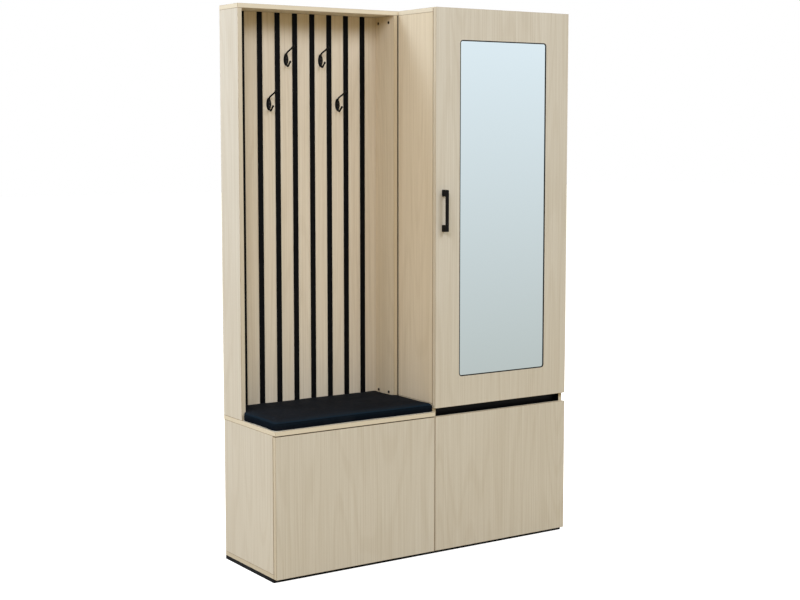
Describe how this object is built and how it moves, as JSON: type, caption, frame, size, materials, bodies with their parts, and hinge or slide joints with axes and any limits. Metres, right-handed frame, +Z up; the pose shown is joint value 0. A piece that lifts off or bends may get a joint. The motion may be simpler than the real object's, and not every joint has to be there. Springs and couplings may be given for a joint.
{
  "type": "hall stand with bench",
  "caption": "Hall stand with a cushioned bench over a cupboard, a slatted coat niche with double hooks, and a tall cupboard with a mirror door.",
  "frame": {"origin": "on the floor, under the middle of the overall box, handle included", "axes": "+Z up, +Y towards the wall, +X to the right when facing the front"},
  "size_m": [1.28, 0.415, 2],
  "materials": {
    "laminate": "satin light ash laminate",
    "black_board": "matt black",
    "back_sheet": "plain hardboard",
    "black_metal": "satin black",
    "dark_screw": "dark brown",
    "steel": "nickel plated",
    "mirror_glass": "silvered glass",
    "dark_bead": "dark grey",
    "faux_leather": "black, soft sheen",
    "beech": "raw beech",
    "grey_plastic": "grey",
    "clear_plastic": "clear dot"
  },
  "bodies": {
    "carcass": {"plinth_front": "black_board", "plinth_rear": "black_board", "plinth_left": "black_board", "plinth_right": "black_board", "bench_bottom_board": "laminate", "bench_left_side": "laminate", "bench_right_side": "laminate", "bench_top": "laminate", "bench_back_sheet": "back_sheet", "shoe_bottom_board": "laminate", "shoe_left_side": "laminate", "shoe_right_side": "laminate", "shoe_back_sheet": "back_sheet", "tall_bottom_board": "laminate", "tall_left_side": "laminate", "tall_right_side": "laminate", "tall_top_board": "laminate", "tall_back_sheet": "back_sheet", "grip_profile": "black_metal", "niche_left_side": "laminate", "niche_right_side": "laminate", "niche_top_board": "laminate", "niche_back_panel": "laminate", "slat_1": "black_board", "slat_2": "black_board", "slat_3": "black_board", "slat_4": "black_board", "slat_5": "black_board", "slat_6": "black_board", "slat_7": "black_board", "slat_8": "black_board", "coat_hook_1": "black_metal", "coat_hook_2": "black_metal", "coat_hook_3": "black_metal", "coat_hook_4": "black_metal", "hook_screws": "dark_screw", "hinge_arms": "steel", "hinge_plates": "steel", "latch_housing": "grey_plastic", "door_bumpers": "clear_plastic", "bench_shelf": "laminate", "shoe_shelf": "laminate", "tall_shelf_1": "laminate", "tall_shelf_2": "laminate", "tall_shelf_3": "laminate", "shelf_pins": "steel", "unit_screws": "dark_screw", "dowels": "beech", "cushion": "faux_leather"},
    "mirror_door_leaf": {"tall_door": "laminate", "mirror": "mirror_glass", "mirror_bead": "dark_bead", "door_handle": "black_metal", "handle_screws": "steel", "tall_hinge_cups": "steel"},
    "shoe_door_leaf": {"shoe_door": "laminate", "shoe_hinge_cups": "steel"},
    "bench_door_leaf": {"bench_door": "laminate", "bench_hinge_cups": "steel"},
    "latch_button": {"latch_plunger": "grey_plastic"}
  },
  "joints": [
    {"name": "tall_door_hinge", "type": "hinge", "parent": "carcass", "child": "mirror_door_leaf", "pos_m": [0.633, -0.1698, 0.647], "axis": [0, 0, 1], "range_deg": [0, 95]},
    {"name": "shoe_door_hinge", "type": "hinge", "parent": "carcass", "child": "shoe_door_leaf", "pos_m": [0.633, -0.1698, 0.114], "axis": [0, 0, 1], "range_deg": [0, 95]},
    {"name": "bench_door_hinge", "type": "hinge", "parent": "carcass", "child": "bench_door_leaf", "pos_m": [-0.633, -0.1698, 0.114], "axis": [0, 0, -1], "range_deg": [0, 95]},
    {"name": "latch_press", "type": "slide", "parent": "carcass", "child": "latch_button", "axis": [0, 1, 0], "range_m": [0, 0.0025], "stiffness_N_per_m": 400}
  ]
}
